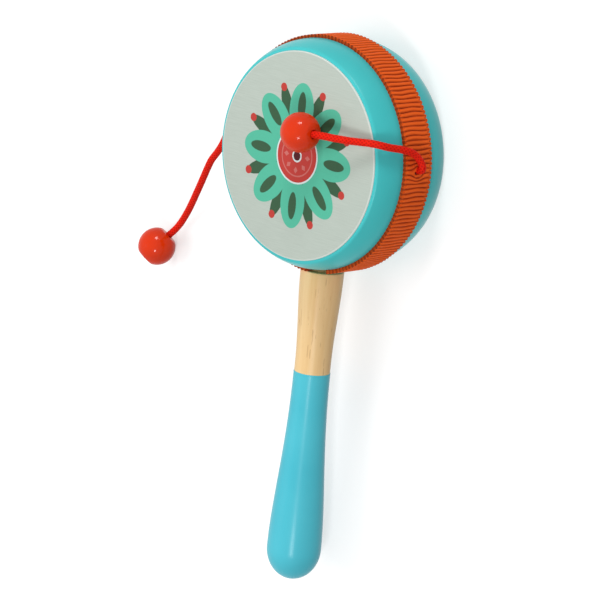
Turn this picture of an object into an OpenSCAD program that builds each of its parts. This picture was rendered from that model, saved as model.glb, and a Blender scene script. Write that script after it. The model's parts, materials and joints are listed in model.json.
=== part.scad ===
// Pellet drum rattle: a turned drum on a stick, with a wooden bead on a cord at each side.
// It lies on its rear head. +Z points out of the front head, and the handle runs along -Y.
// The origin is the middle of the rear head's outer face. All sizes are in millimetres.

/* [Drum] */
// Thickness over both heads
drum_t = 36; // [32:0.5:42]
// Diameter of the shell under the ribbon
shell_d = 83.5; // [82.5:0.1:88]
// Thickness of the shell's wall under the ribbon
wall_t = 8.7; // [7:0.1:10]
// Rounding of the shell's two rims
rim_round = 1.2; // [0.8:0.1:2]
// Flat lip between a head's rebate and the rounding
rim_lip = 0.3; // [0.2:0.1:0.6]
// Width of the shell's rim round each head
rim_w = 4.2; // [3.8:0.1:4.8]
// Thickness of each head
head_t = 3; // [2:0.5:4]
// How far a head stands proud of the rim
head_proud = 0.5; // [0.2:0.1:1]
// Gap round a head in its rebate
head_fit = 0.1; // [0.05:0.05:0.3]

/* [Ribbon] */
// Width of the ribbon round the shell
ribbon_w = 13.7; // [11:0.1:16]
// Thickness of the ribbon
ribbon_t = 1.5; // [0.8:0.1:2]
// How far the ribbon sits from mid-drum, towards the front head
ribbon_shift = 0.9; // [0:0.1:2]
// Angle left open between the ribbon's ends, under the handle
seam_angle = 14; // [10:1:18]
// Film of glue under the ribbon
ribbon_fit = 0.05; // [0.02:0.01:0.2]

/* [Handle] */
// Length of the handle below its shoulder
handle_l = 117.4; // [95:0.1:140]
// Diameter at the shoulder that meets the ribbon
shoulder_d = 16; // [14.5:0.1:18]
// Diameter at the waist
waist_d = 13.2; // [11:0.1:14]
// Distance from the shoulder to the waist
waist_at = 35.4; // [25:0.1:45]
// Largest diameter, near the butt
butt_d = 19.8; // [17:0.1:23]
// Length of the rounded butt
butt_round = 11.5; // [8:0.5:14]
// Diameter of the tenon in the shell
tenon_d = 10; // [8:0.1:11]
// Gap round the tenon in its socket
tenon_fit = 0.05; // [0.02:0.01:0.2]
// Gap between the shoulder and the ribbon
shoulder_gap = 0.1; // [0.05:0.05:0.5]
// How far the handle sits from mid-drum, towards the rear head
handle_drop = 1.5; // [0:0.1:2.5]

/* [Cords] */
// Diameter of the cords
cord_d = 2.7; // [2:0.1:3]
// Diameter of the hole that a cord leaves the shell by
cord_bore_d = 3.2; // [3.1:0.1:4]
// Height of the cord holes above the middle of the drum
cord_hole_y = 2.5; // [0:0.5:5]
// Diameter of the stopper knot inside the shell
wall_knot_d = 6; // [5:0.1:7]
// Gap between a knot and what stops it
knot_fit = 0.1; // [0.05:0.05:0.3]

/* [Beads] */
// Diameter of the beads
bead_d = 14.4; // [13:0.1:16]
// Diameter of the flat at each pole of a bead
bead_flat_d = 7.4; // [6:0.1:8]
// Diameter of the bore through a bead
bead_bore_d = 3.1; // [3.05:0.05:3.5]
// Diameter of the pocket for a bead's knot
bead_pocket_d = 5; // [4.6:0.1:5.2]
// Depth of the pocket for a bead's knot
bead_pocket_h = 3.4; // [2.5:0.1:4]
// Gap between the right bead and the front head that it lies on
bead_rest_gap = 0.2; // [0.1:0.1:0.5]

/* [Hidden] */

$fn = 96;
through = 1;                 // how far a cutter runs past what it cuts
arc_steps = 8;               // steps in the rim's rounding and the shell's flank
curve_steps = 16;            // steps in each curve of the handle
cord_sides = 8;              // sides of a cord's tube

mid_z = drum_t / 2;
shell_r = shell_d / 2;
shell_bore_r = shell_r - wall_t;
ribbon_r = shell_r + ribbon_fit + ribbon_t;
head_r = shell_r - rim_w;
rebate_r = head_r + head_fit;
rim_z = mid_z - head_proud;              // rim's end face, measured from mid-drum
rebate_z = mid_z - head_t;               // floor of a rebate, measured from mid-drum
rim_r = rebate_r + rim_lip;
ribbon_z = mid_z + ribbon_shift;         // middle of the ribbon and of the cord holes
shoulder_y = ribbon_r + shoulder_gap;
shoulder_edge = 0.4;                     // softened edge of the handle's shoulder
belly_at = handle_l - butt_round;        // where the butt's rounding starts
grip_delay = 1.3;                        // above 1, the grip swells later
bead_r = bead_d / 2;
pole_h = sqrt(bead_r * bead_r - bead_flat_d * bead_flat_d / 4);
bead_knot_d = bead_pocket_d - 4 * knot_fit;
knot_y = cord_hole_y + wall_knot_d / 2;  // a wall knot's highest point, which meets the bore first
knot_x = sqrt(shell_bore_r * shell_bore_r - knot_y * knot_y) - knot_fit;
bead_lead = 0.4;                         // straight cord outside a bead's bore

shell_teal = "#48bbbd";
head_pale = "#c3ccc2";
ribbon_orange = "#d9552b";
handle_wood = "#d8b27a";
cord_red = "#e51c10";
bead_orange = "#e8421c";

// Each cord leaves the middle of its hole at the ribbon's surface.
right_mouth = [ribbon_r, cord_hole_y, ribbon_z];
left_mouth = [-ribbon_r, cord_hole_y, ribbon_z];

// The right bead lies on the front head, and the left one on the surface that the rear head lies on.
right_bead_at = [7.5, 10.5, drum_t + bead_r + bead_rest_gap];
left_bead_at = [-95.9, -56.7, bead_r];

// The way from each bead's middle to where its cord comes in
right_pole = unit([7, 0.5, -0.4]);
left_pole = unit([4.2, 7, -4.6]);

// The right cord's route from its hole, up the ribbon and over the rim, to its bead
right_points = [[0, 0, 0], [1.3, 0.2, 0.1], [2, 1.4, 0.5], [1.6, 3.3, 1.3], [1.1, 5, 2.6],
                [0.7, 6.2, 4.2], [0.4, 7, 6], [0, 7.6, 8.2], [-0.6, 8.1, 10.4], [-1.3, 8.4, 12.7],
                [-2, 8.8, 15.1], [-2.9, 9.3, 17.3], [-4.8, 9.6, 18.9], [-7.1, 9.6, 19.8],
                [-9.5, 9.4, 20.4], [-11.9, 9.2, 20.9], [-14.3, 9, 21.4], [-16.7, 8.9, 21.9],
                [-19.2, 8.8, 22.3], [-21.6, 8.7, 22.8], [-24, 8.7, 23.2], [-26.5, 8.6, 23.6],
                [-28.9, 8.5, 24]];

// The left cord's route from its hole, down to its bead
left_points = [[0, 0, 0], [-1.8, 0, 0], [-3.4, -0.2, -0.1], [-5.7, -1, -0.4], [-7.9, -2.6, -0.8],
               [-9.9, -4.9, -1.3], [-11.9, -7.9, -1.9], [-14.2, -11.2, -2.7], [-17.3, -14.7, -3.6],
               [-21, -18.4, -4.6], [-23.9, -22.2, -5.7], [-26.7, -26.1, -6.9], [-29.6, -30, -8.2],
               [-32.6, -34, -9.5], [-35.7, -38, -10.9], [-38.9, -41.9, -12.3], [-42.1, -45.6, -13.5],
               [-45, -48.9, -14.3], [-47.6, -51.7, -14.5], [-49.7, -54.1, -13.8]];

// Which points of each route part the stretch in the wall from the lead, and the lead from the free end
right_joins = [2, 12];
left_joins = [1, 9];

function unit(v) = v / norm(v);
function ease(t) = t * t * (3 - 2 * t);
function last(list) = list[len(list) - 1];

// A route stretched so that it ends at reach, measured from its start
function fit_route(points, reach) =
    let (far = last(points))
    [for (p = points) [p.x * reach.x / far.x, p.y * reach.y / far.y, p.z * reach.z / far.z]];

// A cord from its knot in the drum, along its route, into its bead as far as the bead's knot
function full_route(mouth, points, bead_at, pole) =
    let (bead_mouth = bead_at + (pole_h + bead_lead) * pole)
    concat([for (p = fit_route(points, bead_mouth - mouth)) mouth + p],
           [bead_at - (pole_h - bead_pocket_h) * pole]);

// Tangents along a route that starts along first
function tangents(p, first) =
    [for (i = [0 : len(p) - 1]) i == 0 ? first : unit(p[min(i + 1, len(p) - 1)] - p[i - 1])];

// Normals carried along the tangents without twist
function normals(t, n, i = 0) =
    let (m = unit(n - (n * t[i]) * t[i]))
    i == len(t) - 1 ? [m] : concat([m], normals(t, m, i + 1));

// One ring of points round each point of a route
function rings(p, first) =
    let (t = tangents(p, first), n = normals(t, [0, 0, 1]))
    [for (i = [0 : len(p) - 1])
        [for (k = [0 : cord_sides - 1])
            let (a = 360 * k / cord_sides)
            p[i] + cord_d / 2 * (cos(a) * n[i] + sin(a) * cross(t[i], n[i]))]];

function slice(list, from, to) = [for (i = [from : to]) list[i]];

right_rings = rings(full_route(right_mouth, right_points, right_bead_at, right_pole), [1, 0, 0]);
left_rings = rings(full_route(left_mouth, left_points, left_bead_at, left_pole), [-1, 0, 0]);

// A closed tube through a list of rings
module tube(ring_list) {
    s = cord_sides;
    n = len(ring_list);
    points = [for (ring = ring_list) each ring];
    walls = [for (i = [0 : n - 2], k = [0 : s - 1])
                let (a = i * s + k, b = i * s + (k + 1) % s)
                each [[a, a + s, b], [b, a + s, b + s]]];
    caps = [[for (k = [0 : s - 1]) k], [for (k = [s - 1 : -1 : 0]) (n - 1) * s + k]];
    polyhedron(points, concat(walls, caps), convexity = 6);
}

// Turns what lies along +Z to lie along a direction
module along(way) {
    rotate([0, acos(way.z / norm(way)), atan2(way.y, way.x)]) children();
}

// Outer half of the shell's section, measured from mid-drum: a bowed flank that runs smoothly
// from the ribbon's land into the rim's rounding
function flank() =
    let (land_z = ribbon_w / 2, inset = shell_r - rim_r, up = rim_z - rim_round - land_z,
         bow_r = (inset * inset + up * up - rim_round * rim_round) / (2 * (inset - rim_round)),
         turn = atan2(up, bow_r - inset))
    concat([for (i = [0 : arc_steps]) let (a = turn * i / arc_steps)
                [shell_r - bow_r * (1 - cos(a)), land_z + bow_r * sin(a)]],
           [for (i = [1 : arc_steps]) let (a = turn + (90 - turn) * i / arc_steps)
                [rim_r + rim_round * cos(a), rim_z - rim_round + rim_round * sin(a)]]);

function half_section() =
    concat(flank(), [[rebate_r, rim_z], [rebate_r, rebate_z], [shell_bore_r, rebate_z]]);

function flipped(points) = [for (i = [len(points) - 1 : -1 : 0]) [points[i].x, -points[i].y]];

// Cuts both cord holes, at the height of the cords
module cord_holes() {
    translate([0, cord_hole_y, ribbon_z]) rotate([0, 90, 0])
        cylinder(d = cord_bore_d, h = 2 * (ribbon_r + through), center = true);
}

// Cuts the hole for the handle's tenon
module tenon_hole() {
    translate([0, 0, mid_z - handle_drop]) rotate([90, 0, 0])
        cylinder(d = tenon_d + 2 * tenon_fit, h = ribbon_r + through);
}

// Turned ring with a rebate for each head, a socket for the handle and a hole for each cord
module drum_shell() {
    color(shell_teal)
    difference() {
        translate([0, 0, mid_z])
            rotate_extrude() polygon(concat(half_section(), flipped(half_section())));
        tenon_hole();
        cord_holes();
    }
}

module head() {
    color(head_pale) cylinder(r = head_r, h = head_t);
}

module front_head() {
    translate([0, 0, drum_t - head_t]) head();
}

module rear_head() {
    head();
}

// Ribbon glued round the shell, its two ends a little apart under the handle
module rim_ribbon() {
    color(ribbon_orange)
    difference() {
        translate([0, 0, ribbon_z]) rotate([0, 0, seam_angle - 90])
            rotate_extrude(angle = 360 - seam_angle)
                translate([ribbon_r - ribbon_t, -ribbon_w / 2]) square([ribbon_t, ribbon_w]);
        tenon_hole();
        cord_holes();
    }
}

// The handle's outline below its shoulder: a hollow neck, a swelling grip and a round butt
function grip_outline() =
    let (top_r = shoulder_d / 2, waist_r = waist_d / 2, butt_r = butt_d / 2)
    concat([for (i = [0 : curve_steps]) let (t = i / curve_steps)
                [waist_r + (top_r - waist_r) * (1 + cos(180 * t)) / 2,
                 shoulder_edge + (waist_at - shoulder_edge) * t]],
           [for (i = [1 : curve_steps]) let (t = i / curve_steps)
                [waist_r + (butt_r - waist_r) * ease(pow(t, grip_delay)),
                 waist_at + (belly_at - waist_at) * t]],
           [for (i = [1 : curve_steps]) let (a = 90 * i / curve_steps)
                [butt_r * cos(a), belly_at + butt_round * sin(a)]]);

// Turned stick with a tenon that is glued into the shell's socket
module handle() {
    tenon_l = shoulder_y - shell_bore_r;
    color(handle_wood)
    translate([0, -shoulder_y, mid_z - handle_drop]) rotate([90, 0, 0])
        rotate_extrude()
            polygon(concat([[0, -tenon_l], [tenon_d / 2, -tenon_l], [tenon_d / 2, 0],
                            [shoulder_d / 2 - shoulder_edge, 0]],
                           grip_outline()));
}

// Stopper knot behind the shell's wall, flat where the cord runs into it
module wall_knot(side) {
    color(cord_red)
    translate([side * knot_x, cord_hole_y, ribbon_z]) rotate([0, -90 * side, 0])
        difference() {
            translate([0, 0, wall_knot_d / 4]) sphere(d = wall_knot_d);
            translate([0, 0, -wall_knot_d]) cylinder(d = 2 * wall_knot_d, h = wall_knot_d);
        }
}

// Stretch of cord from its stopper knot, through the wall, to where it starts to bend
module cord_anchor(side, ring_list, to) {
    first = [for (p = ring_list[0]) [side * knot_x, p.y, p.z]];
    color(cord_red) tube(concat([first], slice(ring_list, 0, to)));
}

// Length of cord between two of its rings
module cord_length(ring_list, from, to) {
    color(cord_red) tube(slice(ring_list, from, to));
}

// Turned bead with a flat at each pole, a bore for its cord and a pocket for the cord's knot
module bead(at, pole) {
    color(bead_orange)
    translate(at) along(pole)
        difference() {
            intersection() {
                sphere(d = bead_d);
                cylinder(d = 2 * bead_d, h = 2 * pole_h, center = true);
            }
            cylinder(d = bead_bore_d, h = bead_d + 2 * through, center = true);
            translate([0, 0, -pole_h - through])
                cylinder(d = bead_pocket_d, h = bead_pocket_h + through);
        }
}

// Knot at the cord's end, pulled up into the bead's pocket
module bead_knot(at, pole) {
    knot_h = bead_pocket_h - 2 * knot_fit;
    color(cord_red)
    translate(at) along(pole)
        translate([0, 0, -pole_h + bead_pocket_h - knot_h / 2])
            intersection() {
                sphere(d = bead_knot_d);
                cylinder(d = 2 * bead_knot_d, h = knot_h, center = true);
            }
}

module right_wall_knot() { wall_knot(1); }
module right_cord_anchor() { cord_anchor(1, right_rings, right_joins[0]); }
module right_cord_lead() { cord_length(right_rings, right_joins[0], right_joins[1]); }
module right_cord_free() { cord_length(right_rings, right_joins[1], len(right_rings) - 1); }
module right_bead() { bead(right_bead_at, right_pole); }
module right_bead_knot() { bead_knot(right_bead_at, right_pole); }

module left_wall_knot() { wall_knot(-1); }
module left_cord_anchor() { cord_anchor(-1, left_rings, left_joins[0]); }
module left_cord_lead() { cord_length(left_rings, left_joins[0], left_joins[1]); }
module left_cord_free() { cord_length(left_rings, left_joins[1], len(left_rings) - 1); }
module left_bead() { bead(left_bead_at, left_pole); }
module left_bead_knot() { bead_knot(left_bead_at, left_pole); }

drum_shell();
front_head();
rear_head();
rim_ribbon();
handle();
right_wall_knot();
right_cord_anchor();
right_cord_lead();
right_cord_free();
right_bead();
right_bead_knot();
left_wall_knot();
left_cord_anchor();
left_cord_lead();
left_cord_free();
left_bead();
left_bead_knot();
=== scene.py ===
# %% [markdown]
# # A pellet drum rattle
#
# The object is a wooden toy: a shallow drum on a stick, with a bead on a cord at each side. Rolled between
# the palms, it throws the beads round so that they strike both heads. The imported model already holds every
# solid at its real size and place, in metres. This lesson gives each of them the surface and the small
# shapes that the eye expects.
#
# The drum lies on its rear head. +Z comes out of the front head, and the handle runs along -Y.

# %% Load the frame
import json
import math

import bmesh
import bpy
from mathutils import Matrix, Vector

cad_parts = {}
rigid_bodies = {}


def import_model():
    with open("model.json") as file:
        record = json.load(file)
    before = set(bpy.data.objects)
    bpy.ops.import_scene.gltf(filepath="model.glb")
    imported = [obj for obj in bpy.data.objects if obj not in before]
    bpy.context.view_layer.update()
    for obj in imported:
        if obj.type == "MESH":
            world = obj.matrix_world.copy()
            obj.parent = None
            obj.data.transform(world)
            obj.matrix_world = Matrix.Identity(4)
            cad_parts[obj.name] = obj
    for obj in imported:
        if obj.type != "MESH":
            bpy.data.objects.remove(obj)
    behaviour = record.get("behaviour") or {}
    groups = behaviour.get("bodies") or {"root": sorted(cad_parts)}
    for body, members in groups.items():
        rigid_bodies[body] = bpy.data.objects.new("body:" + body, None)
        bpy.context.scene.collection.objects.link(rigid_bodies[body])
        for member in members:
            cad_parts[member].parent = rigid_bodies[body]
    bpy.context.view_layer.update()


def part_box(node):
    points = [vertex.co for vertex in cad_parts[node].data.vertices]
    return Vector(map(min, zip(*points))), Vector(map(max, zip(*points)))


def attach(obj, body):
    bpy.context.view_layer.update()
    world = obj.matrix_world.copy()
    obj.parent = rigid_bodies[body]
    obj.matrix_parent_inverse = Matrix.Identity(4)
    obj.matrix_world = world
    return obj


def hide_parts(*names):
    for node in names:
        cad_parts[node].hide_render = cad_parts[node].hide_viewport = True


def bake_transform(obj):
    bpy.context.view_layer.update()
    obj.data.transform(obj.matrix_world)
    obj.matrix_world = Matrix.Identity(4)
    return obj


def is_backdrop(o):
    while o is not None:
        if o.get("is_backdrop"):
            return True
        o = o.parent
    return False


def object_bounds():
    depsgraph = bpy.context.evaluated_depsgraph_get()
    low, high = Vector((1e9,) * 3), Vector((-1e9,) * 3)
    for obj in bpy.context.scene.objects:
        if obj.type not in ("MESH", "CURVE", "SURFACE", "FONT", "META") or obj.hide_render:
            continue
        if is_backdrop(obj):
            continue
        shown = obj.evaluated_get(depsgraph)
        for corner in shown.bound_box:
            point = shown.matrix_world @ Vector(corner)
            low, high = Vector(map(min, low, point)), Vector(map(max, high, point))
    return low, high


for leftover in list(bpy.data.objects):
    bpy.data.objects.remove(leftover)
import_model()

# %% [markdown]
# ## Measures
#
# A dresser measures the body first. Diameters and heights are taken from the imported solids, so a change in
# the model carries over by itself. Only what a box can't tell, such as the rounding of a rim, is written
# down again.

# %% Measures from the frame
MM = 0.001
UP = Vector((0, 0, 1))


def middle(node):
    low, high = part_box(node)
    return (low + high) / 2


def width(node):
    low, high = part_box(node)
    return high.x - low.x


shell_r = width("drum_shell") / 2
head_r = width("front_head") / 2
drum_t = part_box("front_head")[1].z
head_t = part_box("rear_head")[1].z
drum_mid = drum_t / 2
ribbon_mid = middle("rim_ribbon").z
ribbon_r = width("rim_ribbon") / 2
ribbon_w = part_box("rim_ribbon")[1].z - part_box("rim_ribbon")[0].z
print(f"drum {2000 * ribbon_r:.1f} mm over the ribbon, {1000 * drum_t:.1f} mm thick")

# %% [markdown]
# ## The camera
#
# The camera comes first, because everything else is judged through it. It stands 1.3 m away behind a long
# lens, so the drum's circles keep nearly the same shape from front to back. It is tilted on its side: the
# rattle lies on a table, but in the picture its handle points down. Three directions say this more plainly
# than three angles.

# %% Camera
camera_at = Vector((0.8670, 0.2362, 0.9556))
camera_right = Vector((0.7119, 0.0985, -0.6953)).normalized()
camera_up = Vector((-0.2250, 0.9699, -0.0929))
camera_back = camera_right.cross(camera_up).normalized()
camera_up = camera_back.cross(camera_right)
LENS = 216

camera = bpy.data.objects.new("camera", bpy.data.cameras.new("camera"))
camera.data.lens = LENS
camera.data.sensor_width = 36
camera.data.clip_start = 0.05
camera.data.clip_end = 20
camera.matrix_world = Matrix.Translation(camera_at) @ Matrix(
    (camera_right, camera_up, camera_back)).transposed().to_4x4()
bpy.context.scene.collection.objects.link(camera)
bpy.context.scene.camera = camera
print("camera at", [round(v, 3) for v in camera_at])

# %% [markdown]
# ## Helpers for meshes
#
# Every piece is finished the same way: the bmesh becomes an object at the origin, its faces are shaded
# smooth, and edges sharper than a chosen angle stay crisp. `turned` does what a lathe does: it takes half
# an outline and spins it once round an axis. `use_merge` closes the seam, and the merged doubles close the
# poles.

# %% Mesh helpers
def finished(name, bm, material, body=None, crease=40):
    mesh = bpy.data.meshes.new(name)
    bm.to_mesh(mesh)
    bm.free()
    mesh.shade_smooth()
    mesh.set_sharp_from_angle(angle=math.radians(crease))
    piece = bpy.data.objects.new(name, mesh)
    bpy.context.scene.collection.objects.link(piece)
    piece.data.materials.append(material)
    if body:
        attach(piece, body)
    print(f"{name}: {len(mesh.polygons)} faces")
    return piece


def turned(outline, origin, axis, steps, closed=False):
    bm = bmesh.new()
    verts = [bm.verts.new((r, 0, h)) for r, h in outline]
    ends = list(zip(verts, verts[1:]))
    if closed:
        ends.append((verts[-1], verts[0]))
    edges = [bm.edges.new(pair) for pair in ends]
    bmesh.ops.spin(bm, geom=verts + edges, cent=(0, 0, 0), axis=UP, angle=math.tau, steps=steps,
                   use_merge=True)
    bmesh.ops.remove_doubles(bm, verts=bm.verts, dist=0.001 * MM)
    bmesh.ops.recalc_face_normals(bm, faces=bm.faces)
    place = Matrix.Translation(origin) @ axis.to_track_quat("Z", "Y").to_matrix().to_4x4()
    bmesh.ops.transform(bm, matrix=place, verts=bm.verts)
    return bm


def arc(centre, radius, start, end, steps):
    angles = [math.radians(start + (end - start) * i / steps) for i in range(steps + 1)]
    return [(centre[0] + radius * math.cos(a), centre[1] + radius * math.sin(a)) for a in angles]


def smoothstep(t):
    t = min(max(t, 0), 1)
    return t * t * (3 - 2 * t)


def grid_spots(bm, columns, rows):
    """The column and row of each vertex of a flat grid that reaches from -1 to 1."""
    return {v: (round((v.co.x + 1) / 2 * columns), round((v.co.y + 1) / 2 * rows)) for v in bm.verts}


def line_length(points):
    return sum((b - a).length for a, b in zip(points, points[1:]))


print("mesh helpers ready")

# %% [markdown]
# ## Helpers for materials
#
# A procedural material is a small sum written in nodes. `add` makes one node and fills or links its
# sockets, and `calc` makes a Math node, so that a pattern reads almost like a formula. Colours are written
# as they are seen on a screen, and `ink` turns them into the linear values that the shader wants.

# %% Material helpers
def ink(code):
    parts = [int(code[i:i + 2], 16) / 255 for i in (1, 3, 5)]
    return tuple(c / 12.92 if c <= 0.04045 else ((c + 0.055) / 1.055) ** 2.4 for c in parts) + (1,)


def add(tree, kind, sockets=None, **settings):
    node = tree.nodes.new("ShaderNode" + kind)
    for key, value in settings.items():
        setattr(node, key, value)
    for key, value in (sockets or {}).items():
        if isinstance(value, bpy.types.NodeSocket):
            tree.links.new(value, node.inputs[key])
        else:
            node.inputs[key].default_value = value
    return node


def calc(tree, operation, *values, clamp=False):
    return add(tree, "Math", dict(enumerate(values)), operation=operation, use_clamp=clamp).outputs[0]


def blend_colour(tree, share, first, second):
    node = add(tree, "Mix", {0: share, 6: first, 7: second}, data_type="RGBA")
    return node.outputs[2]


def noise(tree, where, scale, detail=3, roughness=0.5):
    sockets = {"Vector": where, "Scale": scale, "Detail": detail, "Roughness": roughness}
    return add(tree, "TexNoise", sockets).outputs[0]


def stretch(tree, where, scale):
    return add(tree, "Mapping", {"Vector": where, "Scale": scale}).outputs[0]


def spread(tree, value, low, high):
    return add(tree, "MapRange", {0: value, 3: low, 4: high}).outputs[0]


def bump(tree, height, depth, strength):
    return add(tree, "Bump", {"Height": height, "Distance": depth, "Strength": strength}).outputs[0]


def new_finish(name):
    material = bpy.data.materials.new(name)
    material.use_nodes = True
    tree = material.node_tree
    shader = tree.nodes["Principled BSDF"]
    where = add(tree, "TexCoord")
    return material, tree, shader, where


def wire(tree, shader, **links):
    for key, socket in links.items():
        tree.links.new(socket, shader.inputs[key.replace("_", " ")])


print("material helpers ready")

# %% [markdown]
# ## Red braid
#
# The cords are a soft braid of satin yarn. Seen close up, strands cross in two helices, and each strand is
# made of finer threads. The crossing is real geometry further down. The finish paints the small gaps
# between the strands darker, as painted shade, and adds the fine threads. Both follow the cord's own UV map:
# its first number counts strands round the cord, its second counts repeats along it. Sheen gives the pale
# edge that soft yarn has.

# %% Red braid finish
def red_braid():
    material, tree, shader, where = new_finish("red_braid")
    uv = add(tree, "SeparateXYZ", {0: where.outputs["UV"]})
    ways = [calc(tree, kind, uv.outputs[0], uv.outputs[1]) for kind in ("ADD", "SUBTRACT")]
    tops = [calc(tree, "ABSOLUTE", calc(tree, "COSINE", calc(tree, "MULTIPLY", way, math.pi)))
            for way in ways]
    crown = calc(tree, "MAXIMUM", *tops)
    painted_gap_shade = calc(tree, "POWER", calc(tree, "SUBTRACT", 1.0, crown), 0.8)
    thread = calc(tree, "PINGPONG", calc(tree, "MULTIPLY", ways[0], 3.0), 0.5)
    patches = noise(tree, where.outputs["Object"], 420, 4)
    fibre = noise(tree, stretch(tree, where.outputs["UV"], (9, 0.7, 1)), 3, 2)
    share = calc(tree, "MULTIPLY", calc(tree, "ADD", thread, patches), 0.75, clamp=True)
    yarn = blend_colour(tree, share, ink("#DC1209"), ink("#F82C17"))
    # The gaps between the strands are painted darker here, as painted shade.
    colour = blend_colour(tree, calc(tree, "MULTIPLY", painted_gap_shade, 0.9, clamp=True), yarn, ink("#900803"))
    rough = spread(tree, fibre, 0.42, 0.62)
    shader.inputs["Specular IOR Level"].default_value = 0.06
    shader.inputs["Sheen Weight"].default_value = 0.05
    shader.inputs["Sheen Tint"].default_value = ink("#FF8A70")
    normal = bump(tree, calc(tree, "ADD", thread, fibre), 0.06 * MM, 0.6)
    wire(tree, shader, Base_Color=colour, Roughness=rough, Normal=normal)
    return material


braid_finish = red_braid()
print("finish:", braid_finish.name)

# %% [markdown]
# ## The cords' routes
#
# A cord is a fixed length of something limp. The right one leaves its hole, comes up over the rim and lies
# on the front head. The left one hangs down to the table. The points are those of the solids, written as
# steps from the mouth of the hole. A smooth curve through them takes the corners out, and stations a
# quarter of a millimetre apart carry two directions across the cord, turned as little as possible, so that
# the braid doesn't twist.

# %% Cord routes
CORD_R = 1.35 * MM
STEP = 0.25 * MM
BEAD_R = 7.2 * MM
BEAD_FLAT_R = 3.7 * MM
BEAD_POCKET_H = 3.4 * MM
BEAD_LEAD = 0.4 * MM
PARTS_IN_WALL, PARTS_IN_BEAD = 6, 5
POLE_H = math.sqrt(BEAD_R ** 2 - BEAD_FLAT_R ** 2)

right_steps = [(0, 0, 0), (1.3, 0.2, 0.1), (2, 1.4, 0.5), (1.6, 3.3, 1.3), (1.1, 5, 2.6), (0.7, 6.2, 4.2),
               (0.4, 7, 6), (0, 7.6, 8.2), (-0.6, 8.1, 10.4), (-1.3, 8.4, 12.7), (-2, 8.8, 15.1),
               (-2.9, 9.3, 17.3), (-4.8, 9.6, 18.9), (-7.1, 9.6, 19.8), (-9.5, 9.4, 20.4), (-11.9, 9.2, 20.9),
               (-14.3, 9, 21.4), (-16.7, 8.9, 21.9), (-19.2, 8.8, 22.3), (-21.6, 8.7, 22.8), (-24, 8.7, 23.2),
               (-26.5, 8.6, 23.6), (-28.9, 8.5, 24)]
left_steps = [(0, 0, 0), (-1.8, 0, 0), (-3.4, -0.2, -0.1), (-5.7, -1, -0.4), (-7.9, -2.6, -0.8),
              (-9.9, -4.9, -1.3), (-11.9, -7.9, -1.9), (-14.2, -11.2, -2.7), (-17.3, -14.7, -3.6),
              (-21, -18.4, -4.6), (-23.9, -22.2, -5.7), (-26.7, -26.1, -6.9), (-29.6, -30, -8.2),
              (-32.6, -34, -9.5), (-35.7, -38, -10.9), (-38.9, -41.9, -12.3), (-42.1, -45.6, -13.5),
              (-45, -48.9, -14.3), (-47.6, -51.7, -14.5), (-49.7, -54.1, -13.8)]
poles = {"right": Vector((7, 0.5, -0.4)).normalized(), "left": Vector((4.2, 7, -4.6)).normalized()}
bead_at = {side: middle(side + "_bead") for side in poles}


def between(start, end, parts):
    return [start.lerp(end, i / parts) for i in range(1, parts)]


def cord_points(side, steps):
    hole = middle(side + "_wall_knot")
    mouth = Vector((math.copysign(ribbon_r, hole.x), hole.y, ribbon_mid))
    bead_mouth = bead_at[side] + (POLE_H + BEAD_LEAD) * poles[side]
    reach, far = bead_mouth - mouth, steps[-1]
    outside = [mouth + Vector(p[i] * reach[i] / far[i] for i in range(3)) for p in steps]
    tail = bead_at[side] - (POLE_H - BEAD_POCKET_H) * poles[side]
    root = Vector((hole.x, hole.y, ribbon_mid))
    lead_in = [root, *between(root, mouth, PARTS_IN_WALL)]
    return lead_in + outside + between(bead_mouth, tail, PARTS_IN_BEAD) + [tail], len(lead_in)


def smooth_line(points, per_span=12):
    padded = [2 * points[0] - points[1], *points, 2 * points[-1] - points[-2]]
    line = []
    for a, b, c, d in zip(padded, padded[1:], padded[2:], padded[3:]):
        for i in range(per_span):
            t = i / per_span
            line.append((2 * b + (c - a) * t + (2 * a - 5 * b + 4 * c - d) * t ** 2
                         + (3 * b - a - 3 * c + d) * t ** 3) / 2)
    return line + [points[-1]]


routes = {side: cord_points(side, steps) for side, steps in (("right", right_steps), ("left", left_steps))}
for side, (points, mouth_index) in routes.items():
    outside = points[mouth_index:-PARTS_IN_BEAD]
    print(side, "cord outside its hole, mm:", round(1000 * line_length(outside), 1))

# %% [markdown]
# A station holds its place, its two cross directions and its distance along the cord.

# %% Stations along a line
def stations(line):
    spaced, gone, due = [line[0]], 0.0, STEP
    for a, b in zip(line, line[1:]):
        span = (b - a).length
        while due <= gone + span:
            spaced.append(a.lerp(b, (due - gone) / span))
            due += STEP
        gone += span
    found, across = [], UP
    for i, place in enumerate(spaced):
        way = (spaced[min(i + 1, len(spaced) - 1)] - spaced[max(i - 1, 0)]).normalized()
        across = (across - across.dot(way) * way).normalized()
        found.append((place, across, way.cross(across), i * STEP))
    return found


def nearest(found, point):
    return min(range(len(found)), key=lambda i: (found[i][0] - point).length)


cord_stations = {side: stations(smooth_line(points)) for side, (points, _) in routes.items()}
for side, found in cord_stations.items():
    print(side, "cord:", len(found), "stations")

# %% [markdown]
# ## Rolling a braid
#
# A tube could be a curve with a round bevel, but that would be smooth. Here a flat grid is rolled up: one
# side of the grid goes round the cord, the other along it. Two families of strands wind opposite ways, and
# each point stands out by whichever strand lies on top of it. The rolled edges meet and are merged, and the
# two ends are filled.

# %% Braided tube
STRANDS = 6
COLUMNS = 36
BRAID_PITCH = 1.6 * MM
BRAID_DEPTH = 0.15


def strand_height(turn, along):
    lean = math.tau * along / BRAID_PITCH
    first = abs(math.cos((STRANDS * turn + lean) / 2))
    second = abs(math.cos((STRANDS * turn - lean) / 2))
    return max(first, second) ** 0.8


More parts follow.
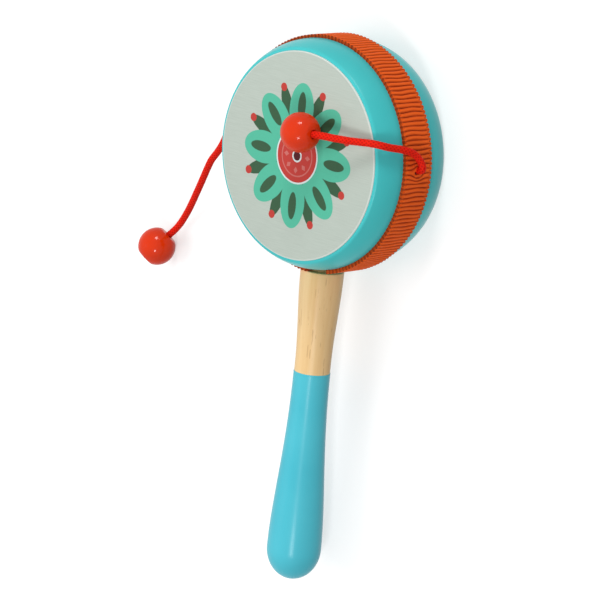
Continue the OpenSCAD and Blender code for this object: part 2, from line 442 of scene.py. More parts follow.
def braided(name, found, radius, body=None):
    rows = len(found) - 1
    bm = bmesh.new()
    threads = bm.loops.layers.uv.new("UVMap")
    bmesh.ops.create_grid(bm, x_segments=COLUMNS, y_segments=rows, size=1)
    spots = grid_spots(bm, COLUMNS, rows)
    for face in bm.faces:
        for loop in face.loops:
            column, row = spots[loop.vert]
            loop[threads].uv = (STRANDS * column / COLUMNS, found[row][3] / BRAID_PITCH)
    for v, (column, row) in spots.items():
        place, across, over, along = found[row]
        turn = math.tau * column / COLUMNS
        reach = radius * (1 - BRAID_DEPTH * (1 - strand_height(turn, along)))
        v.co = place + reach * (math.cos(turn) * across + math.sin(turn) * over)
    bmesh.ops.remove_doubles(bm, verts=bm.verts, dist=0.01 * MM)
    bmesh.ops.holes_fill(bm, edges=bm.edges)
    bmesh.ops.recalc_face_normals(bm, faces=bm.faces)
    piece = finished(name, bm, braid_finish, body, crease=75)
    return piece


print("braid:", STRANDS, "strands each way")

# %% [markdown]
# ## Cords in two pieces
#
# The imported cord is a chain: a part held by the wall, a lead, and the free end with its bead. Each braid is
# made in two pieces, which meet in the middle of the lead, where nothing bends, and the pattern runs on
# across the cut.

# %% The two cords
bends = {"right": (4, 7, 9, 15), "left": (3, 5, 6, 12)}
for side, found in cord_stations.items():
    points, mouth_index = routes[side]
    out, cut, lift, settled = (points[mouth_index + i] for i in bends[side])
    i = nearest(found, cut)
    root = braided(side + "_braid_root", found[:i + 1], CORD_R)
    free = braided(side + "_braid_free", found[i:], CORD_R)
    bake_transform(root)
    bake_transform(free)
    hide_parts(side + "_cord_anchor", side + "_cord_lead")
    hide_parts(side + "_cord_free")

# %% [markdown]
# ## Knots
#
# Each cord is stopped by a knot at both ends: behind the wall, and in a pocket of the bead. A ball would do
# for the motion, but a knot reads as a knot only if a strand passes over itself. The trefoil curve does
# that in one formula. It is squeezed along the cord, as a pulled knot is.

# %% Knots
KNOT_STEPS = 90
KNOT_SHARE = 0.97
KNOT_SPREAD, KNOT_RISE, STRAND_SHARE = 1.15, 0.55, 0.4


def knot_line(centre, axis, radius, height):
    turn = axis.to_track_quat("Z", "Y").to_matrix()
    line = []
    for i in range(KNOT_STEPS + 1):
        t = math.tau * KNOT_SHARE * i / KNOT_STEPS
        flat = Vector((math.sin(t) + 2 * math.sin(2 * t), math.cos(t) - 2 * math.cos(2 * t), 0)) * radius / 3
        line.append(centre + turn @ (flat + UP * height * -math.sin(3 * t)))
    return line


for side, pole in poles.items():
    for node, axis, body in ((side + "_wall_knot", Vector((1, 0, 0)), "drum"),
                             (side + "_bead_knot", pole, side + "_pellet")):
        low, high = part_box(node)
        reach = min(high - low) / 2
        strand = STRAND_SHARE * reach
        line = knot_line(middle(node), axis, KNOT_SPREAD * reach - strand, KNOT_RISE * reach)
        tie = braided(node.replace("_knot", "_tie"), stations(line), strand, body)
        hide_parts(node)

# %% [markdown]
# ## Orange lacquer
#
# The beads are dipped in a thick, glossy lacquer. The base colour varies a little where the coat is
# thinner. A clear coat on the shader gives the small sharp highlights, and a very shallow bump keeps them
# from being perfect.

# %% Orange lacquer finish
def orange_lacquer():
    material, tree, shader, where = new_finish("orange_lacquer")
    cloud = noise(tree, where.outputs["Object"], 160, 3)
    colour = blend_colour(tree, spread(tree, cloud, 0.1, 0.9), ink("#D42C02"), ink("#E03904"))
    peel = noise(tree, where.outputs["Object"], 700, 2)
    rough = spread(tree, peel, 0.3, 0.4)
    shader.inputs["Specular IOR Level"].default_value = 0.04
    shader.inputs["Coat Weight"].default_value = 0.32
    shader.inputs["Coat Roughness"].default_value = 0.1
    wire(tree, shader, Base_Color=colour, Roughness=rough, Normal=bump(tree, peel, 0.006 * MM, 0.4))
    return material


bead_finish = orange_lacquer()
print("finish:", bead_finish.name)

# %% [markdown]
# ## Beads
#
# A bead is turned: a ball with a small flat at each pole, a bore from one pole and a wider pocket at the
# other. The outline starts in the bore and goes round the outside back into it, so the spun shape is one
# closed wall. The rounding at the mouth is what catches the light where the cord goes in.

# %% Turned beads
BORE_R = 1.55 * MM
POCKET_R = 2.5 * MM
MOUTH_ROUND = 0.35 * MM
POCKET_EDGE = 0.12 * MM
BALL_EASE = 1.5
BEAD_STEPS, BALL_STEPS = 72, 56
FLAT_ANGLE = math.degrees(math.asin(BEAD_FLAT_R / BEAD_R))


def bead_outline():
    top = arc((BORE_R + MOUTH_ROUND, POLE_H - MOUTH_ROUND), MOUTH_ROUND, 180, 90, 6)
    ball = arc((0, 0), BEAD_R, 90 - FLAT_ANGLE - BALL_EASE, FLAT_ANGLE - 90 + BALL_EASE, BALL_STEPS)
    lip = [(POCKET_R + POCKET_EDGE, -POLE_H), (POCKET_R, POCKET_EDGE - POLE_H)]
    return top + ball + lip + [(POCKET_R, BEAD_POCKET_H - POLE_H), (BORE_R, BEAD_POCKET_H - POLE_H)]


for side, pole in poles.items():
    bm = turned(bead_outline(), bead_at[side], pole, BEAD_STEPS, closed=True)
    finished(side + "_bead_turned", bm, bead_finish, side + "_pellet")
    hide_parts(side + "_bead")

# %% [markdown]

# %% [markdown]
# ## Teal lacquer
#
# The drum's shell and the grip wear the same kind of paint in two shades. On turned wood, such a coat has a
# faint orange peel, and here and there it is a little thinner. Both come from noise at two scales.

# %% Teal lacquer finish
def lacquer(name, paint, thin_paint):
    material, tree, shader, where = new_finish(name)
    cloud = noise(tree, where.outputs["Object"], 45, 4)
    peel = noise(tree, where.outputs["Object"], 650, 2)
    colour = blend_colour(tree, spread(tree, cloud, -0.3, 1.0), ink(paint), ink(thin_paint))
    rough = spread(tree, noise(tree, where.outputs["Object"], 90, 3), 0.26, 0.4)
    shader.inputs["Specular IOR Level"].default_value = 0.12
    shader.inputs["Coat Weight"].default_value = 0.12
    shader.inputs["Coat Roughness"].default_value = 0.18
    wire(tree, shader, Base_Color=colour, Roughness=rough, Normal=bump(tree, peel, 0.02 * MM, 0.4))
    return material


shell_finish = lacquer("teal_lacquer", "#3FBCBE", "#4CC7C9")
grip_finish = lacquer("grip_lacquer", "#47B8CA", "#56C4D4")
print("finishes:", shell_finish.name, grip_finish.name)

# %% [markdown]
# ## The drum's shell
#
# The shell is a ring turned from one block: a flat land for the ribbon, a bowed flank that runs in to each
# rim, a small rounding, and inside it a rebate that holds the head. Half the section is written once and
# mirrored, and the lathe does the rest. The holes are drilled afterwards, as on the real one.

# %% Shell outline
RIM_ROUND = 1.2 * MM
RIM_LIP = 0.3 * MM
HEAD_FIT = 0.1 * MM
HEAD_PROUD = 0.5 * MM
WALL_T = 8.7 * MM
FLANK_STEPS, RIM_STEPS, SHELL_STEPS = 24, 20, 160
DRILL_SIDES = 40
rebate_r = head_r + HEAD_FIT
rim_r = rebate_r + RIM_LIP
rim_z = drum_t / 2 - HEAD_PROUD
bore_r = shell_r - WALL_T


def half_shell():
    inset, rise = shell_r - rim_r, rim_z - RIM_ROUND - ribbon_w / 2
    bow_r = (inset ** 2 + rise ** 2 - RIM_ROUND ** 2) / (2 * (inset - RIM_ROUND))
    turn = math.degrees(math.atan2(rise, bow_r - inset))
    flank = arc((shell_r - bow_r, ribbon_w / 2), bow_r, 0, turn, FLANK_STEPS)
    rim = arc((rim_r, rim_z - RIM_ROUND), RIM_ROUND, turn, 90, RIM_STEPS)
    floor_z = drum_t / 2 - head_t
    return flank + rim[1:] + [(rebate_r, rim_z), (rebate_r, floor_z), (bore_r, floor_z)]


def drilled(piece, start, end, radius):
    bm = bmesh.new()
    bmesh.ops.create_cone(bm, cap_ends=True, segments=DRILL_SIDES, radius1=radius, radius2=radius,
                          depth=(end - start).length)
    turn = (end - start).to_track_quat("Z", "Y").to_matrix().to_4x4()
    bmesh.ops.transform(bm, matrix=Matrix.Translation((start + end) / 2) @ turn, verts=bm.verts)
    drill = finished("drill", bm, piece.data.materials[0])
    cut = piece.modifiers.new("drill", "BOOLEAN")
    cut.object = drill
    cut.solver = "EXACT"
    whole = piece.data
    result = piece.evaluated_get(bpy.context.evaluated_depsgraph_get())
    piece.data = bpy.data.meshes.new_from_object(result)
    piece.modifiers.clear()
    bpy.data.meshes.remove(whole)
    bpy.data.objects.remove(drill)


TENON_HOLE_R = 5.05 * MM
CORD_HOLE_R = 1.6 * MM
upper = half_shell()
lower = [(r, -z) for r, z in reversed(upper)]
ring = turned(upper + lower, UP * drum_mid, UP, SHELL_STEPS, closed=True)
shell = finished("lacquered_shell", ring, shell_finish)
hole = middle("right_wall_knot")
handle_z = middle("handle").z
drilled(shell, Vector((-ribbon_r, hole.y, ribbon_mid)), Vector((ribbon_r, hole.y, ribbon_mid)),
        CORD_HOLE_R)
drilled(shell, Vector((0, -bore_r / 2, handle_z)), Vector((0, -ribbon_r - MM, handle_z)), TENON_HOLE_R)
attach(shell, "drum")
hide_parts("drum_shell")
print("shell drilled:", len(shell.data.polygons), "faces")

# %% [markdown]
# ## Printed board
#
# Each head is a thin board, painted pale and printed. The design is a rosette of petals and leaves, because
# a figure that repeats round a centre can be folded: every point is turned into one sector, where a petal
# is just an ellipse and a seed just a diamond. `sector` folds, and each mask is 1 inside its shape, with an
# edge as soft as a print's. The board's fine grain shows through, and its edge is painted paler, partly as
# rubbed wear and partly as a painted highlight.

# %% Print helpers
PRINT_SOFT = 0.12
PETALS = 8


def sector(tree, radius, angle, count, turn=0.0):
    folded = calc(tree, "PINGPONG", calc(tree, "ADD", angle, turn + math.tau), math.pi / count)
    return (calc(tree, "MULTIPLY", radius, calc(tree, "COSINE", folded)),
            calc(tree, "MULTIPLY", radius, calc(tree, "SINE", folded)))


def inside(tree, distance, softness):
    edge = calc(tree, "DIVIDE", calc(tree, "SUBTRACT", 1.0, distance), softness)
    return calc(tree, "ADD", edge, 0.5, clamp=True)


def ellipse(tree, spot, out, half_length, half_width):
    u = calc(tree, "DIVIDE", calc(tree, "SUBTRACT", spot[0], out), half_length)
    v = calc(tree, "DIVIDE", spot[1], half_width)
    far = calc(tree, "SQRT", calc(tree, "ADD", calc(tree, "MULTIPLY", u, u), calc(tree, "MULTIPLY", v, v)))
    return inside(tree, far, PRINT_SOFT / half_width)


def diamond(tree, spot, out, half_length, half_width):
    u = calc(tree, "ABSOLUTE", calc(tree, "SUBTRACT", spot[0], out))
    far = calc(tree, "ADD", calc(tree, "DIVIDE", u, half_length), calc(tree, "DIVIDE", spot[1], half_width))
    return inside(tree, far, PRINT_SOFT / half_width)


def disc(tree, radius, size):
    return inside(tree, calc(tree, "DIVIDE", radius, size), PRINT_SOFT / size)


print("print helpers ready")

# %% Printed board finish
GREEN, DARK_GREEN, RED = ink("#52B598"), ink("#33553B"), ink("#B83A33")
PINK, PALE, MAROON = ink("#C46A64"), ink("#D3E0DF"), ink("#4A0A14")


def rosette(tree, spot, ground):
    radius = add(tree, "VectorMath", {0: spot}, operation="LENGTH").outputs["Value"]
    flat = add(tree, "SeparateXYZ", {0: spot})
    angle = calc(tree, "ARCTAN2", flat.outputs[1], flat.outputs[0])
    petals = sector(tree, radius, angle, PETALS)
    gaps = sector(tree, radius, angle, PETALS, math.pi / PETALS)
    # Sizes are in millimetres: distance out, half length, half width. Later layers lie on top.
    layers = [(ellipse(tree, gaps, 17.5, 8.5, 2.6), DARK_GREEN),
              (ellipse(tree, petals, 16.8, 9.6, 5.9), GREEN),
              (ellipse(tree, petals, 18.2, 5.0, 1.9), DARK_GREEN),
              (ellipse(tree, gaps, 25.2, 1.5, 1.5), RED),
              (disc(tree, radius, 10.2), PALE), (disc(tree, radius, 9.6), RED),
              (disc(tree, radius, 7.6), PINK), (disc(tree, radius, 7.1), RED),
              (diamond(tree, petals, 5.2, 1.25, 0.95), PINK),
              (disc(tree, radius, 2.3), PALE), (disc(tree, radius, 1.7), MAROON)]
    colour = ground
    for mask, paint in layers:
        colour = blend_colour(tree, mask, colour, paint)
    return colour


def printed_board():
    material, tree, shader, where = new_finish("printed_board")
    place = where.outputs["Object"]
    spot = add(tree, "Mapping", {"Vector": place, "Scale": (1000, 1000, 0)}).outputs[0]
    wobble = add(tree, "TexNoise", {"Vector": spot, "Scale": 1.6, "Detail": 2}).outputs["Color"]
    shift = add(tree, "VectorMath", {0: wobble, 1: (0.5, 0.5, 0.5)}, operation="SUBTRACT").outputs[0]
    sockets = {0: shift, 1: (0.12, 0.12, 0), 2: spot}
    edge = add(tree, "VectorMath", sockets, operation="MULTIPLY_ADD").outputs[0]
    grain = noise(tree, stretch(tree, spot, (0.05, 1.4, 1)), 2.2, 5, 0.6)
    streak = noise(tree, stretch(tree, spot, (0.12, 6, 1)), 1.5, 3)
    ground = blend_colour(tree, spread(tree, grain, -0.2, 1.2), ink("#AAB5AB"), ink("#BDC7BE"))
    specks = calc(tree, "GREATER_THAN", noise(tree, spot, 2.4, 2, 0.7), 0.78)
    ground = blend_colour(tree, calc(tree, "MULTIPLY", specks, 0.35), ground, ink("#8F948A"))
    printed = rosette(tree, edge, ground)
    shade = spread(tree, streak, 0.94, 1.05)
    printed = add(tree, "VectorMath", {0: printed, 3: shade}, operation="SCALE").outputs[0]
    # The board's outer edge is painted paler here, partly as rubbed wear and partly as a painted highlight.
    radius = add(tree, "VectorMath", {0: spot}, operation="LENGTH").outputs["Value"]
    share = calc(tree, "DIVIDE", radius, 1000 * head_r)
    rubbed_edge_and_highlight = add(tree, "MapRange", {0: share, 1: 0.985, 2: 1.0, 3: 0.0, 4: 0.7}).outputs[0]
    colour = blend_colour(tree, rubbed_edge_and_highlight, printed, ink("#E4E9E4"))
    height = calc(tree, "ADD", streak, calc(tree, "MULTIPLY", grain, 0.5))
    shader.inputs["Specular IOR Level"].default_value = 0.2
    wire(tree, shader, Base_Color=colour, Roughness=spread(tree, streak, 0.42, 0.58),
         Normal=bump(tree, height, 0.03 * MM, 0.6))
    return material


board_finish = printed_board()
print("finish:", board_finish.name, len(board_finish.node_tree.nodes), "nodes")

# %% [markdown]
# The board itself is a disc with both edges broken by a small bevel, as sandpaper leaves it. A bevel of a
# cylinder's rim needs only the edges of its two caps.

# %% Heads
EDGE_ROUND = 0.35 * MM
BOARD_GAP = 0.03 * MM
BOARD_SIDES = 192
board_r = rebate_r - BOARD_GAP


def board(name, low_z, high_z):
    bm = bmesh.new()
    bmesh.ops.create_cone(bm, cap_ends=True, segments=BOARD_SIDES, radius1=board_r, radius2=board_r,
                          depth=high_z - low_z)
    rims = [e for e in bm.edges if abs(e.verts[0].co.z - e.verts[1].co.z) < 0.01 * MM]
    bmesh.ops.bevel(bm, geom=rims, offset=EDGE_ROUND, segments=4, profile=0.5, affect="EDGES", material=-1)
    bmesh.ops.translate(bm, vec=UP * (low_z + high_z) / 2, verts=bm.verts)
    return finished(name, bm, board_finish, "drum")


for name, node in (("front_board", "front_head"), ("rear_board", "rear_head")):
    head = board(name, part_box(node)[0].z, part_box(node)[1].z)
    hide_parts(node)

# %% [markdown]
# ## Ribbed ribbon
#
# The ribbon is a ribbed weave: thick ribs lie across it, held by a tight row of loops at each edge. The UV
# map counts ribs along the ribbon and runs once across its width. The grooves between ribs are painted
# darker, partly as painted shade and partly for the dye that sits there, and fine threads cross each rib. The
# sides are painted darker still, as painted shade along the ribbon's edges.

# %% Ribbon finish
def ribbed_cloth():
    material, tree, shader, where = new_finish("ribbed_cloth")
    uv = add(tree, "SeparateXYZ", {0: where.outputs["UV"]})
    groove = calc(tree, "MULTIPLY", calc(tree, "PINGPONG", uv.outputs[0], 0.5), 2.0)
    crest = calc(tree, "POWER", calc(tree, "SINE", calc(tree, "MULTIPLY", groove, math.pi / 2)), 0.9)
    yarn = noise(tree, stretch(tree, where.outputs["UV"], (7, 0.35, 1)), 4, 3)
    ends = calc(tree, "PINGPONG", calc(tree, "MULTIPLY", uv.outputs[1], 26.0), 0.5)
    fuzz = noise(tree, where.outputs["Object"], 900, 3)
    # The grooves between ribs are painted darker here, partly as painted shade and partly for the dye in
    # them.
    body = calc(tree, "ADD", calc(tree, "MULTIPLY", crest, 0.75), calc(tree, "MULTIPLY", yarn, 0.4),
                clamp=True)
    colour = blend_colour(tree, body, ink("#8C2206"), ink("#FE691F"))
    # Both sides of the ribbon are painted darker here, as painted shade along its edges.
    rim = calc(tree, "ABSOLUTE", calc(tree, "SUBTRACT", uv.outputs[1], 0.5))
    side = add(tree, "MapRange", {0: rim, 1: 0.488, 2: 0.4995, 3: 0.0, 4: 0.5}).outputs[0]
    colour = blend_colour(tree, side, colour, ink("#4A1003"))
    height = calc(tree, "ADD", calc(tree, "ADD", yarn, calc(tree, "MULTIPLY", ends, 0.6)), fuzz)
    shader.inputs["Sheen Weight"].default_value = 0.05
    shader.inputs["Specular IOR Level"].default_value = 0.08
    shader.inputs["Sheen Roughness"].default_value = 0.45
    wire(tree, shader, Base_Color=colour, Roughness=spread(tree, fuzz, 0.55, 0.75),
         Normal=bump(tree, height, 0.07 * MM, 0.7))
    return material


ribbon_finish = ribbed_cloth()
print("finish:", ribbon_finish.name)

# %% [markdown]
# ## The ribbon as a sheet
#
# The real ribbon is one strip, glued once round the shell. Its two ends stop a little apart, under the
# handle. A flat grid stands for it: its long side goes round the drum, its short side goes round the
# ribbon's section. Each point is then moved onto the drum, and out by the height of its rib. Where a cord
# comes through, the threads aren't cut. They part, so points are pushed away from the hole's middle. At
# both edges the weft turns back between two ribs, so the rows of loops there are set half a rib further on.
# A strip glued by hand never lies quite straight, and on the left it is pulled tighter.

# %% Ribbon measures
RIB_PITCH = 1.72 * MM
RIB_H = 0.52 * MM
RIB_COLUMNS = 8
ACROSS = 21
SELVEDGE = 0.87
SWAY = 0.06
LOOP_INSET = 0.3 * MM
UNDER_INSET = 0.15 * MM
PULLED_IN = 0.4 * MM
PULL_STARTS, PULL_OVER = 0.05, 0.35
END_DEGREES = 3
RIBBON_T = 1.5 * MM
EYELET_R = 2.1 * MM
EYELET_REACH = 5.5 * MM
EYELET_FADE = 1.6
EYELET_SAG = 0.7 * MM
SEAM_ANGLE = 14
START_ANGLE = -90
under_r = ribbon_r - RIBBON_T
turn_degrees = 360 - SEAM_ANGLE
ribbon_l = math.radians(turn_degrees) * ribbon_r
ribs = round(ribbon_l / RIB_PITCH)
print(f"ribbon: {1000 * ribbon_l:.0f} mm long, {ribs} ribs")


# %% The ribbon's section and its eyelets
def section_spot(row):
    """Share across the width from -1 to 1, and share of the thickness, for one row round the section."""
    if row <= ACROSS:
        return 2 * row / ACROSS - 1, 1.0
    back = row - ACROSS
    return (1 - 2 * (back - 1) / ACROSS, 0.0) if back <= ACROSS + 1 else (-1.0, 1.0)


def parted(turned_by, height, holes):
    """A point of the ribbon, by its angle and height, pushed away from each cord hole."""
    for hole_angle, hole_z in holes:
        along = math.remainder(turned_by - hole_angle, math.tau) * ribbon_r
        up = height - hole_z
        far = math.hypot(along, up)
        if far < EYELET_REACH:
            fade = smoothstep((EYELET_REACH - far) / EYELET_REACH * EYELET_FADE)
            push = (math.hypot(far, EYELET_R) / far - 1) * fade
            turned_by += along * push / ribbon_r
            height += up * push
    return turned_by, height


lean = math.asin((hole.y - EYELET_SAG) / ribbon_r)
hole_angles = [lean, math.pi - lean]
cord_holes = [(a, ribbon_mid) for a in hole_angles]
print("eyelets at", [round(math.degrees(a), 1) for a in hole_angles], "degrees")

# %% Weave the ribbon
columns = ribs * RIB_COLUMNS
rows = 2 * ACROSS + 2
bm = bmesh.new()
weave = bm.loops.layers.uv.new("UVMap")
bmesh.ops.create_grid(bm, x_segments=columns, y_segments=rows, size=1)
spots = grid_spots(bm, columns, rows)
for face in bm.faces:
    for loop in face.loops:
        column, row = spots[loop.vert]
        loop[weave].uv = (column / RIB_COLUMNS, section_spot(row)[0] / 2 + 0.5)
eyelet_faces = []
for face in bm.faces:
    spots_here = [spots[v] for v in face.verts]
    column = sum(s[0] for s in spots_here) / 4
    across = sum(section_spot(s[1])[0] for s in spots_here) / 4
    angle = math.radians(START_ANGLE - turn_degrees * column / columns)
    for hole_angle in hole_angles:
        near = abs(math.remainder(angle - hole_angle, math.tau)) * ribbon_r < 0.5 * RIB_PITCH / RIB_COLUMNS
        if near and abs(across) < 0.5 / ACROSS:
            eyelet_faces.append(face)
for v, (column, row) in spots.items():
    across, lift = section_spot(row)
    degrees = turn_degrees * column / columns
    count, loop_row = column // RIB_COLUMNS, abs(across) > SELVEDGE
    rib = abs(math.sin(math.pi * (column / RIB_COLUMNS + 0.5 * loop_row))) ** 0.5
    uneven = 1 + 0.12 * math.sin(2.3 * count) + 0.08 * math.sin(0.7 * count + 4 * across)
    crown = RIB_H * (1 - rib) * uneven
    sway = SWAY * RIB_PITCH * (math.sin(1.1 * count + 3 * across) + math.sin(0.37 * count - 4 * across))
    inset = LOOP_INSET * (1 - rib) + (0 if lift else UNDER_INSET)
    height = ribbon_mid + across * (ribbon_w / 2 - inset)
    inland = smoothstep(min(degrees, turn_degrees - degrees) / END_DEGREES)
    angle = math.radians(START_ANGLE - degrees) + inland * sway / ribbon_r
    angle, height = parted(angle, height, cord_holes)
    taut = PULLED_IN * smoothstep((PULL_STARTS - math.cos(angle)) / PULL_OVER)
    r = under_r + lift * (RIBBON_T - taut - crown)
    v.co = (r * math.cos(angle), r * math.sin(angle), height)
bmesh.ops.delete(bm, geom=eyelet_faces, context="FACES")
bmesh.ops.remove_doubles(bm, verts=bm.verts, dist=0.005 * MM)
print("eyelet faces opened:", len(eyelet_faces))

# %% [markdown]
# The eyelets now have an outer and an inner ring of open edges. Bridging them gives each eyelet its wall.
# The strip's two cut ends are filled last.

# %% Finish the ribbon
for hole_angle in hole_angles:
    spot = Vector((ribbon_r * math.cos(hole_angle), ribbon_r * math.sin(hole_angle), ribbon_mid))
    rim = [e for e in bm.edges if e.is_boundary and (e.verts[0].co - spot).length < 2 * EYELET_R]
    bmesh.ops.bridge_loops(bm, edges=rim)
bmesh.ops.holes_fill(bm, edges=bm.edges)
bmesh.ops.recalc_face_normals(bm, faces=bm.faces)
ribbon = finished("ribbed_ribbon", bm, ribbon_finish, "drum", crease=80)
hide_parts("rim_ribbon")

# %% [markdown]
# ## Bare wood
#
# The neck of the handle is bare, varnished wood. Its grain runs along the stick, so noise is stretched
# along Y: long soft bands for the growth rings and short dark dashes for the pores. The varnish is thin, so
# the grain is felt in the bump.

# %% Bare wood finish
def bare_wood():
    material, tree, shader, where = new_finish("bare_wood")
    place = where.outputs["Object"]
    bands = noise(tree, stretch(tree, place, (190, 9, 190)), 1.0, 4, 0.55)
    fine = noise(tree, stretch(tree, place, (900, 22, 900)), 1.0, 3, 0.6)
    pores = calc(tree, "GREATER_THAN", noise(tree, stretch(tree, place, (1500, 90, 1500)), 1.0, 2), 0.66)
    colour = blend_colour(tree, spread(tree, bands, -0.4, 1.4), ink("#E4B87A"), ink("#FBDFAD"))
    colour = blend_colour(tree, calc(tree, "MULTIPLY", fine, 0.3), colour, ink("#C99A5C"))
    colour = blend_colour(tree, calc(tree, "MULTIPLY", pores, 0.3), colour, ink("#8F6234"))
    shader.inputs["Specular IOR Level"].default_value = 0.2
    shader.inputs["Coat Weight"].default_value = 0.12
    shader.inputs["Coat Roughness"].default_value = 0.25
    wire(tree, shader, Base_Color=colour, Roughness=spread(tree, fine, 0.38, 0.55),
         Normal=bump(tree, calc(tree, "SUBTRACT", fine, pores), 0.03 * MM, 0.5))
    return material


wood_finish = bare_wood()
print("finish:", wood_finish.name)

# %% [markdown]
# ## The handle
#
# A turned stick: a tenon for the drum, a square shoulder, a neck that hollows to a waist and a grip that
# swells to a round butt. The neck follows half a cosine wave and the grip an eased curve, which meet
# without a corner.

# %% Handle outline
SHOULDER_R, WAIST_R, BUTT_R, TENON_R = 8 * MM, 6.6 * MM, 9.9 * MM, 5 * MM
HANDLE_L, WAIST_AT, BUTT_L = 117.4 * MM, 35.4 * MM, 11.5 * MM
SHOULDER_EDGE, TENON_EDGE = 0.4 * MM, 0.3 * MM
SIDE_STARTS = SHOULDER_EDGE + 0.5 * MM
GRIP_DELAY = 1.3
STICK_STEPS, SIDE_STEPS, BUTT_STEPS = 96, 60, 28
shoulder_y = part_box("handle")[0].y + HANDLE_L
tenon_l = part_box("handle")[1].y - shoulder_y
belly_at = HANDLE_L - BUTT_L


def stick_radius(down):
    if down < WAIST_AT:
        wave = math.cos(math.pi * max(down - SHOULDER_EDGE, 0) / (WAIST_AT - SHOULDER_EDGE))
        return WAIST_R + (SHOULDER_R - WAIST_R) * (1 + wave) / 2
    if down < belly_at:
        swell = ((down - WAIST_AT) / (belly_at - WAIST_AT)) ** GRIP_DELAY
        return WAIST_R + (BUTT_R - WAIST_R) * smoothstep(swell)
    return BUTT_R * math.sqrt(max(0, 1 - ((down - belly_at) / BUTT_L) ** 2))


def stick_side(start, thick=0.0):
    straight = [start + (belly_at - start) * i / SIDE_STEPS for i in range(SIDE_STEPS)]
    side = [(stick_radius(d) + thick, d) for d in straight]
    butt = [((BUTT_R + thick) * math.cos(a), belly_at + (BUTT_L + thick) * math.sin(a))
            for a in (math.pi / 2 * i / BUTT_STEPS for i in range(BUTT_STEPS + 1))]
    return side + butt[:-1] + [(0, belly_at + BUTT_L + thick)]


print(f"shoulder at y {1000 * shoulder_y:.1f} mm, tenon {1000 * tenon_l:.1f} mm")

# %% Handle stick
DOWN = Vector((0, -1, 0))
shoulder = Vector((0, shoulder_y, handle_z))
tenon = [(0, -tenon_l), (TENON_R - TENON_EDGE, -tenon_l), (TENON_R, TENON_EDGE - tenon_l), (TENON_R, 0)]
edge = arc((SHOULDER_R - SHOULDER_EDGE, SHOULDER_EDGE), SHOULDER_EDGE, -90, 0, 6)
bm = turned(tenon + edge + stick_side(SIDE_STARTS), shoulder, DOWN, STICK_STEPS)
stick = finished("handle_stick", bm, wood_finish, "drum", crease=50)
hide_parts("handle")

# %% [markdown]
# ## The dip of paint
#
# The grip is dipped, not sprayed, so the coat ends in a soft lip where the paint drew back. The coat is a
# sleeve a sixth of a millimetre thick: the stick's own side, moved out, with a rounded lip at its top and
# its inner wall just under the wood's surface.

# %% Grip paint
PAINT_AT = 38.3 * MM
PAINT_T = 0.16 * MM
LIP_T = 0.24 * MM
LIP_L = 0.9 * MM
LIP_STEPS = 10
SUNK = -0.1 * MM
INNER_STARTS = PAINT_AT + 0.02 * MM
quarter = [math.pi / 2 * i / LIP_STEPS for i in range(LIP_STEPS)]
lip = [(stick_radius(PAINT_AT) + PAINT_T * math.sin(a) + (LIP_T - PAINT_T) * math.sin(2 * a) ** 2,
        PAINT_AT + LIP_L * (1 - math.cos(a))) for a in quarter]
outer = lip + stick_side(PAINT_AT + LIP_L, PAINT_T)
inner = stick_side(INNER_STARTS, SUNK)
bm = turned(outer + inner[::-1], shoulder, DOWN, STICK_STEPS, closed=True)
finished("grip_paint", bm, grip_finish, "drum")

# %% [markdown]
# ## Floor and light
#
# A white table and soft light from above, as in a photographer's tent. The floor is pale and plain, and it
# adds a little light of its own, more of it far away where the lamps don't reach, so that it goes to white
# while the shadow under the drum stays. Only the camera sees it, and only from above: part of the tent's
# light passes through, so that the underside is lit when it is looked at.

# %% Floor
FLOOR_HALF = 6
FLOOR_GAP = 0.2 * MM
FLOOR_PAINT = (0.6, 0.6, 0.6, 1)
NEAR, FAR = 0.3, 1.2
NEAR_GLOW, FAR_GLOW = 0.5, 0.72
LET_THROUGH = 0.6
WHITE = (1, 1, 1, 1)


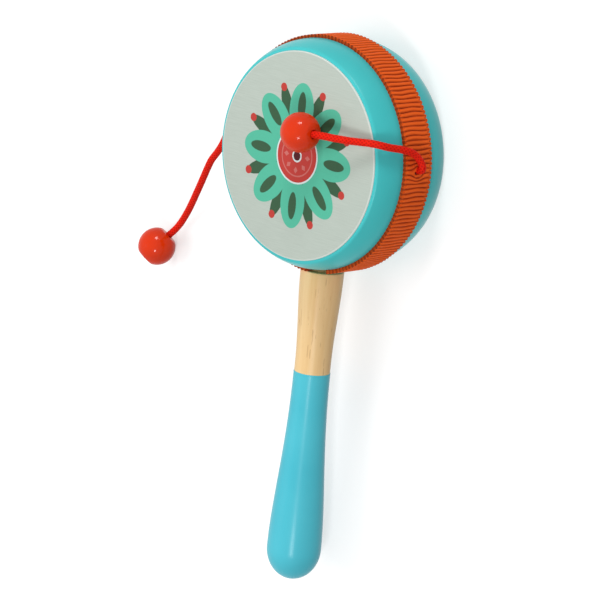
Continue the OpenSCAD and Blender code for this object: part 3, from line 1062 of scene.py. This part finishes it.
def tabletop():
    material = bpy.data.materials.new("tabletop")
    material.use_nodes = True
    tree = material.node_tree
    tree.nodes.clear()
    rays = add(tree, "LightPath")
    seen = rays.outputs["Is Camera Ray"]
    paint = add(tree, "BsdfDiffuse", {"Color": FLOOR_PAINT})
    place = add(tree, "TexCoord").outputs["Object"]
    away = add(tree, "VectorMath", {0: place}, operation="LENGTH").outputs["Value"]
    level = add(tree, "MapRange", {0: away, 1: NEAR, 2: FAR, 3: NEAR_GLOW, 4: FAR_GLOW}).outputs[0]
    glow = add(tree, "Emission", {"Color": WHITE, "Strength": level})
    lit = add(tree, "AddShader", {0: paint.outputs[0], 1: glow.outputs[0]})
    sharp = calc(tree, "MAXIMUM", rays.outputs["Is Glossy Ray"], rays.outputs["Is Transmission Ray"])
    let_through = spread(tree, calc(tree, "MAXIMUM", seen, sharp), LET_THROUGH, 1.0)
    clear = add(tree, "BsdfTransparent", {"Color": let_through})
    above = calc(tree, "SUBTRACT", seen, add(tree, "NewGeometry").outputs["Backfacing"], clamp=True)
    side = add(tree, "MixShader", {0: above, 1: clear.outputs[0], 2: lit.outputs[0]})
    tree.links.new(side.outputs[0], add(tree, "OutputMaterial").inputs[0])
    return material


bm = bmesh.new()
bmesh.ops.create_grid(bm, x_segments=1, y_segments=1, size=FLOOR_HALF)
bmesh.ops.translate(bm, vec=(0, 0, -FLOOR_GAP), verts=bm.verts)
floor = finished("floor", bm, tabletop())
floor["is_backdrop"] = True

# %% Lights
def softbox(name, place, aim, size, power, shines=True):
    lamp = bpy.data.lights.new(name, "AREA")
    lamp.shape = "DISK"
    lamp.size = size
    lamp.energy = power
    light = bpy.data.objects.new(name, lamp)
    facing = (place - aim).to_track_quat("Z", "Y").to_matrix().to_4x4()
    light.matrix_world = Matrix.Translation(place) @ facing
    bpy.context.scene.collection.objects.link(light)
    light.visible_glossy = shines
    print(f"{name}: {power} W")


TENT_LEVEL = 0.52
drum_centre = UP * drum_mid
softbox("upper", Vector((0.25, 1.20, 0.55)), drum_centre, 0.40, 8)
softbox("lower", Vector((0.65, -0.48, 1.01)), drum_centre, 0.30, 4.8)
softbox("overhead", Vector((-0.80, -0.10, 1.10)), drum_centre, 0.9, 5.5, shines=False)

world = bpy.data.worlds.new("tent")
bpy.context.scene.world = world
world.use_nodes = True
tree = world.node_tree
rays = add(tree, "LightPath")
seen = calc(tree, "MAXIMUM", rays.outputs["Is Camera Ray"], rays.outputs["Is Transmission Ray"])
seen = calc(tree, "MAXIMUM", seen, rays.outputs["Is Glossy Ray"])
tree.nodes["Background"].inputs["Color"].default_value = WHITE
tree.links.new(spread(tree, seen, TENT_LEVEL, 1.0), tree.nodes["Background"].inputs["Strength"])
bpy.context.scene.view_settings.view_transform = "Standard"
print("light ready")

# %% The visual box
low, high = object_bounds()
print("visual box, mm:", [round(1000 * v, 1) for v in (*low, *high)])
